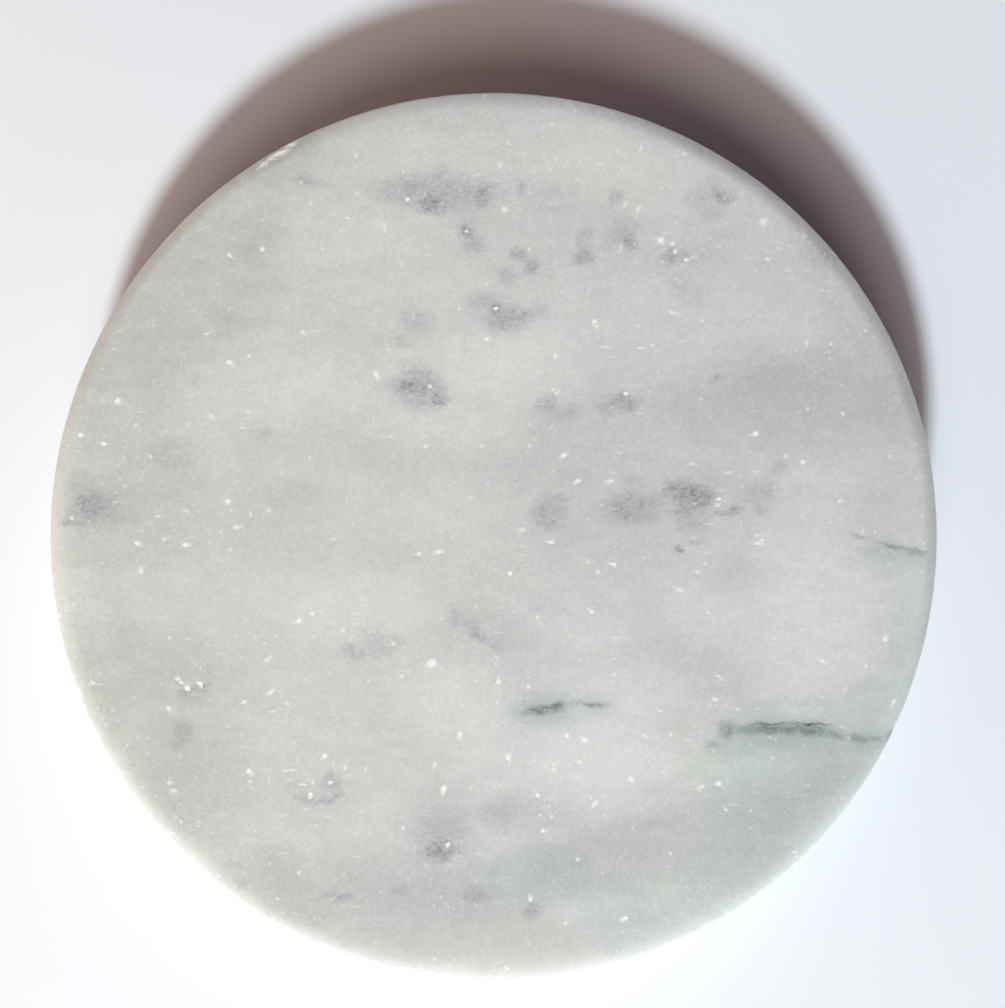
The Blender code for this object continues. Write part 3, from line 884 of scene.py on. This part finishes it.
def into_piece(shape, name, material):
    """Object at the origin from a finished bmesh, smooth except at sharp edges."""
    bmesh.ops.triangulate(shape, faces=[f for f in shape.faces if len(f.verts) > 4])
    mesh = bpy.data.meshes.new(name)
    shape.to_mesh(mesh)
    shape.free()
    mesh.shade_smooth()
    mesh.set_sharp_from_angle(angle=SHARP)
    mesh.materials.append(material)
    made = bpy.data.objects.new(name, mesh)
    bpy.context.scene.collection.objects.link(made)
    return made


print("ready to finish pieces")

# %% [markdown]
# ## The marble's finish
#
# The painted layers say where things are; the shader gives them their grain. It works in
# three dimensions and in millimetres, in the same tilted slab space as the painting, so what
# reaches the rim runs on down the wall and comes out on the back.

# %% Group: millimetres in the slab
FRAY = 1.15


def slab_space():
    """Position in millimetres, tilted with depth as the beds dip, and a ragged copy of it."""
    inputs = {"Vector": ORIGIN, "Face Height": 0.0, "Dip": ORIGIN}
    tree, given, result = new_group("slab space", inputs, {"Bedded": "Vector", "Ragged": "Vector"})
    place = scaled(tree, given["Vector"], 1 / MM)
    height = node(tree, "SeparateXYZ", {"Vector": place}).outputs["Z"]
    depth = calc(tree, "SUBTRACT", height, given["Face Height"])
    level = node(tree, "CombineXYZ", {"Z": given["Face Height"]}).outputs[0]
    bedded = vector_calc(tree, "SUBTRACT", place, level)
    bedded = vector_calc(tree, "ADD", bedded, scaled(tree, given["Dip"], depth))
    fray = node(tree, "TexNoise", {"Vector": bedded, "Scale": 0.8, "Detail": 2.8}).outputs["Color"]
    fray = scaled(tree, vector_calc(tree, "SUBTRACT", fray, (0.5, 0.5, 0.5)), FRAY)
    feed(tree, result["Bedded"], bedded)
    feed(tree, result["Ragged"], vector_calc(tree, "ADD", bedded, fray))
    return tree


SLAB_SPACE = slab_space()
print("group:", SLAB_SPACE.name)

# %% [markdown]
# A seam is thinner than the mesh is fine, so seams stay in the shader. Each is a chain of soft
# ovals, and the chain keeps the strongest one at every point.

# %% Group: one soft oval
def soft_spot():
    """An oval that fades outwards; Total carries the strongest spot so far."""
    inputs = {"Total": 0.0, "Vector": ORIGIN, "Centre": ORIGIN, "Turn": ORIGIN,
              "Reach": (1.0, 1.0, 1.0), "Fade": 1.0, "Strength": 1.0}
    tree, given, result = new_group("soft spot", inputs, {"Total": "Float"})
    local = node(tree, "Mapping", {"Vector": given["Vector"], "Location": given["Centre"],
                 "Rotation": given["Turn"], "Scale": given["Reach"]}, vector_type="TEXTURE")
    ball = node(tree, "TexGradient", {"Vector": local.outputs[0]}, gradient_type="SPHERICAL")
    mask = ramp(tree, ball.outputs["Fac"], 0.0, given["Fade"])
    mask = times(tree, mask, given["Strength"])
    feed(tree, result["Total"], calc(tree, "MAXIMUM", mask, given["Total"]))
    return tree


SOFT_SPOT = soft_spot()


def spots(tree, vector, rows, fade, depth):
    """Chain soft spots: rows of x, y, half length, half width, turn and strength."""
    total = 0.0
    for x, y, length, width, turn, strength in rows:
        inputs = {"Total": total, "Vector": vector, "Centre": (x, y, 0.0), "Fade": fade,
                  "Turn": (0.0, 0.0, math.radians(turn)), "Reach": (length, width, depth),
                  "Strength": strength}
        total = use(tree, SOFT_SPOT, inputs)["Total"]
    return total


print("group:", SOFT_SPOT.name)

# %% Group: the crystals
def crystal_grain():
    """Tone of interlocked grains, their height, and rare dark and light points."""
    inputs = {"Vector": ORIGIN, "Grain Size": 0.5}
    outputs = {"Tone": "Float", "Height": "Float", "Dark Point": "Float", "Light Point": "Float"}
    tree, given, result = new_group("crystal grain", inputs, outputs)
    per_mm = calc(tree, "DIVIDE", 1.0, given["Grain Size"])
    cells = node(tree, "TexVoronoi", {"Vector": given["Vector"], "Scale": per_mm})
    tone = node(tree, "SeparateColor", {"Color": cells.outputs["Color"]}).outputs[0]
    dust = speckle(tree, given["Vector"], times(tree, per_mm, 1.9), 2, 0.7)
    mixed = calc(tree, "ADD", times(tree, tone, 0.35), times(tree, dust, 0.65))
    points = speckle(tree, given["Vector"], times(tree, per_mm, 1.15), 1, 0.6)
    seam = times(tree, cells.outputs["Distance"], -0.5)
    feed(tree, result["Tone"], mixed)
    feed(tree, result["Height"], calc(tree, "ADD", mixed, seam))
    feed(tree, result["Dark Point"], ramp(tree, points, 0.30, 0.22))
    feed(tree, result["Light Point"], ramp(tree, points, 0.70, 0.78))
    return tree


CRYSTAL_GRAIN = crystal_grain()
print("group:", CRYSTAL_GRAIN.name)

# %% Group: small crystals that lie flush with the surface and flash
def cleavage_flakes():
    """A few scattered grains picked by chance; Crowding makes nests of them."""
    inputs = {"Vector": ORIGIN, "Spacing": 2.0, "Share": 0.3, "Size": 0.2, "Crowding": 1.0}
    tree, given, result = new_group("cleavage flakes", inputs, {"Mask": "Float"})
    per_mm = calc(tree, "DIVIDE", 1.0, given["Spacing"])
    cells = node(tree, "TexVoronoi", {"Vector": given["Vector"], "Scale": per_mm})
    chance = node(tree, "SeparateColor", {"Color": cells.outputs["Color"]})
    luck, girth, shine = chance.outputs
    picked = calc(tree, "LESS_THAN", luck, times(tree, given["Share"], given["Crowding"]))
    far = times(tree, cells.outputs["Distance"], given["Spacing"])
    own_size = times(tree, given["Size"], ramp(tree, girth, 0, 1, 0.5, 1.2))
    mask = ramp(tree, far, times(tree, own_size, 0.35), own_size, 1, 0)
    bright = ramp(tree, shine, 0, 1, 0.35, 1)
    feed(tree, result["Mask"], times(tree, times(tree, mask, picked), bright))
    return tree


CLEAVAGE_FLAKES = cleavage_flakes()
print("group:", CLEAVAGE_FLAKES.name)

# %% [markdown]
# ### Putting the stone together
#
# The parts are laid over each other in the order that they formed. The ground is a pale grey
# whose brightness is moved up and down by the clouds; at the lower left and the bottom the grey
# clouds also carry painted shade. The tints, the graphite and the seams are mixed over it, each
# through a mask that carries its own grains. Fresh breaks come next and the flashing crystals
# last, their flash painted in as near-white colour, a painted glint. Roughness and bump follow
# the same grains, so a crystal is also smoother than the stone round it. Marble lets light in and
# lets it out again some millimetres away, which makes its lit rim glow, so most of its light is
# scattered inside.

# %% Colours and masks of the stone
GROUND = (0.674, 0.669, 0.630, 1)
OLIVE_TINT = (0.605, 0.640, 0.565, 1)
TEAL_TINT = (0.530, 0.598, 0.560, 1)
GRAPHITE = (0.150, 0.158, 0.178, 1)
SEAM_DARK = (0.050, 0.075, 0.075, 1)
HALO_GREEN = (0.360, 0.430, 0.415, 1)
# near-white colour for the flashing crystals: a painted glint that stands in for light their faces
# reflect
PAINTED_GLINT_WHITE = (0.97, 0.96, 0.90, 1)
FRESH_WHITE = (0.90, 0.90, 0.85, 1)
SEAM_DEPTH = 12


def layer(tree, name):
    """Read a painted vertex layer."""
    return node(tree, "Attribute", attribute_name=name).outputs["Fac"]


def ground_tone(tree, bedded, grain):
    """Brightness of the ground: painted clouds, with some painted shade in the grey ones at the lower
    left and the bottom, drawn-out noise and grains.
    """
    stretched = vector_calc(tree, "MULTIPLY", bedded, (0.5, 1, 0.8))
    broad = speckle(tree, stretched, 0.12, 3, 0.55)
    small = speckle(tree, stretched, 0.55, 4, 0.65)
    total = calc(tree, "MULTIPLY_ADD", layer(tree, "pale_cloud"), 0.14, 0.965)
    # grey clouds darken the ground; at the lower left and the bottom this is partly painted shade
    total = calc(tree, "MULTIPLY_ADD", layer(tree, "grey_cloud_and_shade"), -0.15, total)
    for value, low, swing in ((broad, 0.25, 0.025), (small, 0.25, 0.035), (grain["Tone"], 0.2, 0.055)):
        total = calc(tree, "ADD", total, ramp(tree, value, low, 1 - low, -swing, swing))
    total = calc(tree, "MULTIPLY_ADD", grain["Dark Point"], -0.08, total)
    return calc(tree, "MULTIPLY_ADD", grain["Light Point"], 0.08, total)


def grainy(tree, mask, fine, haze, grains):
    """Turn a soft mask into a haze full of darker grains."""
    peppered = ramp(tree, fine, 0.42, 0.62, 0, grains)
    return calc(tree, "MULTIPLY", mask, calc(tree, "ADD", peppered, haze), use_clamp=True)


def flake_glint_mask(tree, ragged):
    """Where crystals flash, as a painted glint: large ones from the flake layer, and scattered small ones
    that crowd in nests.
    """
    crowd = calc(tree, "MULTIPLY_ADD", layer(tree, "nest"), 2.4, 0.75)
    thin = vector_calc(tree, "MULTIPLY", ragged, (0.32, 1.5, 1))
    mask = layer(tree, "flake")
    for place, spacing, share, size, strength in (
        (ragged, 1.3, 0.26, 0.30, 0.60), (ragged, 0.75, 0.40, 0.25, 0.32), (thin, 0.85, 0.36, 0.24, 0.30),
    ):
        sown = use(tree, CLEAVAGE_FLAKES, {"Vector": place, "Spacing": spacing, "Share": share,
                                           "Size": size, "Crowding": crowd})["Mask"]
        mask = calc(tree, "MAXIMUM", mask, times(tree, sown, strength))
    return mask


print("masks ready")

# %% The finish of the stone
LIGHT_REACH = 5 * MM


def marble_material():
    """The whole stone."""
    material, tree, shader = new_material("honed_marble")
    where = node(tree, "TexCoord").outputs["Object"]
    space = use(tree, SLAB_SPACE, {"Vector": where, "Face Height": FACE_Z / MM, "Dip": tuple(DIP)})
    bedded, ragged = space["Bedded"], space["Ragged"]
    grain = use(tree, CRYSTAL_GRAIN, {"Vector": bedded, "Grain Size": 0.32})
    flat = vector_calc(tree, "MULTIPLY", bedded, (0.75, 1, 1))
    clumps = speckle(tree, flat, 2.3, 3, 0.68)
    edges = speckle(tree, flat, 0.85, 4, 0.68)

    colour = GROUND
    for name, strength, tint in (("olive_cloud", 0.55, OLIVE_TINT), ("teal_cloud", 0.60, TEAL_TINT)):
        colour = blend(tree, times(tree, layer(tree, name), strength), colour, tint)
    colour = scaled(tree, colour, ground_tone(tree, bedded, grain))

    painted = times(tree, layer(tree, "graphite"), ramp(tree, edges, 0.3, 0.6, 0.70, 1.10))
    haloes = spots(tree, bedded, SEAM_HALOES, 0.9, SEAM_DEPTH)
    seams = grainy(tree, spots(tree, ragged, SEAMS, 1, SEAM_DEPTH), clumps, 0.58, 0.26)
    hairs = grainy(tree, spots(tree, ragged, HAIRLINES, 0.9, SEAM_DEPTH), clumps, 0.62, 0.30)
    broken = layer(tree, "fresh_break")
    flakes = flake_glint_mask(tree, ragged)
    for mask, tint in (
        (grainy(tree, painted, clumps, 0.34, 0.40), GRAPHITE),
        (grainy(tree, haloes, clumps, 0.75, 0.20), HALO_GREEN),
        (calc(tree, "MAXIMUM", seams, hairs), SEAM_DARK),
        (times(tree, broken, 0.85), FRESH_WHITE),
        # the crystals' flash, painted in as near-white colour: a painted glint
        (flakes, PAINTED_GLINT_WHITE),
    ):
        colour = blend(tree, mask, colour, tint)

    rough = ramp(tree, grain["Tone"], 0.1, 0.9, 0.56, 0.68)
    rough = calc(tree, "MULTIPLY_ADD", flakes, -0.25, rough)
    rough = calc(tree, "MULTIPLY_ADD", broken, 0.12, rough)
    fill(tree, shader, {"Base Color": colour, "Roughness": rough, "IOR": 1.52,
                        "Normal": bumped(tree, grain["Height"], 0.35),
                        "Subsurface Weight": 0.72, "Subsurface Radius": (1, 0.96, 0.90),
                        "Subsurface Scale": LIGHT_REACH})
    return material


marble = marble_material()
print("marble:", len(marble.node_tree.nodes), "nodes")

# %% Finish the stone
stone_piece = into_piece(stone, "marble_stone", marble)
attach(stone_piece, "root")
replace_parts(stone_piece, "stone_disc")
print("stone", [round(side / MM, 2) for side in stone_piece.dimensions], "mm")

# %% [markdown]
# ## The feet
#
# The feet are self-adhesive bumpers: low domes of clear soft polyurethane, cast with a flat
# glued side and a flat worn spot where they touch the table. They are spun like the stone, and
# between each foot and the stone lies the thin film of adhesive that holds it.

# %% One foot and its film
FOOT_NODES = sorted(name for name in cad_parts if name.startswith("bumper_foot"))
FOOT_STEPS = 96
DOME_STEPS = 18
FILM_GAP = 0.01 * MM
FILM_INSET = 0.3 * MM


def foot_profile(radius, height):
    """Glued side, thin flash line, short skirt, domed shoulder, slightly dished bearing spot."""
    skirt, shoulder = 0.4 * MM, 1.4 * MM
    flash, dish = 0.06 * MM, 0.03 * MM
    body = radius - flash
    dome = []
    for step in range(DOME_STEPS + 1):
        angle = math.radians(90 * step / DOME_STEPS)
        dome.append((body - shoulder * (1 - math.cos(angle)), (height - skirt) * (1 - math.sin(angle))))
    edge = [(radius - 0.5 * MM, height), (radius - 0.1 * MM, height), (radius, height - 0.05 * MM),
            (radius, height - 0.12 * MM), (body, height - 0.2 * MM)]
    spot = [((body - shoulder) * share, dish * (1 - share ** 2)) for share in (0.8, 0.5, 0.2, 0.0)]
    return [(0.0, height)] + edge + dome + spot


def film_profile(radius, low, high):
    """A thin disc with rounded edges."""
    ease = 0.4 * (high - low)
    return [(0.0, high), (radius - ease, high), (radius, high - ease), (radius, low + ease),
            (radius - ease, low), (0.0, low)]


foot_low, foot_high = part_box(FOOT_NODES[0])
print("foot", (foot_high - foot_low) / MM, "mm")

# %% [markdown]
# Clear polyurethane yellows a touch, holds a few tiny bubbles and picks up dust on its tacky
# skin. The adhesive is milky. Both share one dust group with their own values.

# %% Group: dust and smears
def dust_and_smears():
    """Where dust sits: fine specks and softer patches."""
    inputs = {"Vector": ORIGIN, "Speck Size": 0.1, "Amount": 0.3}
    tree, given, result = new_group("dust and smears", inputs, {"Mask": "Float"})
    per_mm = calc(tree, "DIVIDE", 1.0, given["Speck Size"])
    specks = ramp(tree, speckle(tree, given["Vector"], per_mm), 0.62, 0.72)
    patches = ramp(tree, speckle(tree, given["Vector"], times(tree, per_mm, 0.12), 3), 0.4, 0.7)
    both = calc(tree, "MAXIMUM", specks, times(tree, patches, 0.6))
    feed(tree, result["Mask"], times(tree, both, given["Amount"]))
    return tree


DUST = dust_and_smears()


def rubber_material(name, clear, cloudy, speck_size, amount, roughness, transmission):
    """Soft clear plastic with dust on it."""
    material, tree, shader = new_material(name)
    where = scaled(tree, node(tree, "TexCoord").outputs["Object"], 1 / MM)
    dust = use(tree, DUST, {"Vector": where, "Speck Size": speck_size, "Amount": amount})["Mask"]
    fill(tree, shader, {"Base Color": blend(tree, dust, clear, cloudy), "IOR": 1.48,
                        "Roughness": calc(tree, "MULTIPLY_ADD", dust, 0.5, roughness),
                        "Normal": bumped(tree, speckle(tree, where, 2, 3), 0.2),
                        "Transmission Weight": transmission})
    return material


bumper_finish = rubber_material("clear_bumper", (0.93, 0.93, 0.89, 1), (0.62, 0.61, 0.57, 1),
                                0.12, 0.4, 0.18, 0.75)
film_finish = rubber_material("milky_adhesive", (0.80, 0.79, 0.74, 1), (0.93, 0.93, 0.92, 1),
                              0.25, 0.8, 0.45, 0.25)
print("materials:", bumper_finish.name, film_finish.name)

# %% Make the feet
def turned_piece(profile, place, name, finish):
    """Spin a profile, move it to its place and put it on the body."""
    shape = spun(profile, FOOT_STEPS)
    bmesh.ops.transform(shape, matrix=Matrix.Translation(place), verts=shape.verts)
    piece = into_piece(shape, name, finish)
    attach(piece, "root")
    return piece


for number, name in enumerate(FOOT_NODES, start=1):
    low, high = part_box(name)
    middle, radius = (low + high) / 2, (high.x - low.x) / 2
    place = (middle.x, middle.y, low.z)
    foot = foot_profile(radius, high.z - low.z)
    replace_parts(turned_piece(foot, place, f"bumper_{number}", bumper_finish), name)
    film = film_profile(radius - FILM_INSET, high.z - low.z + FILM_GAP, BACK_Z - low.z - FILM_GAP)
    turned_piece(film, place, f"adhesive_film_{number}", film_finish)
print(len(FOOT_NODES), "feet with their films")
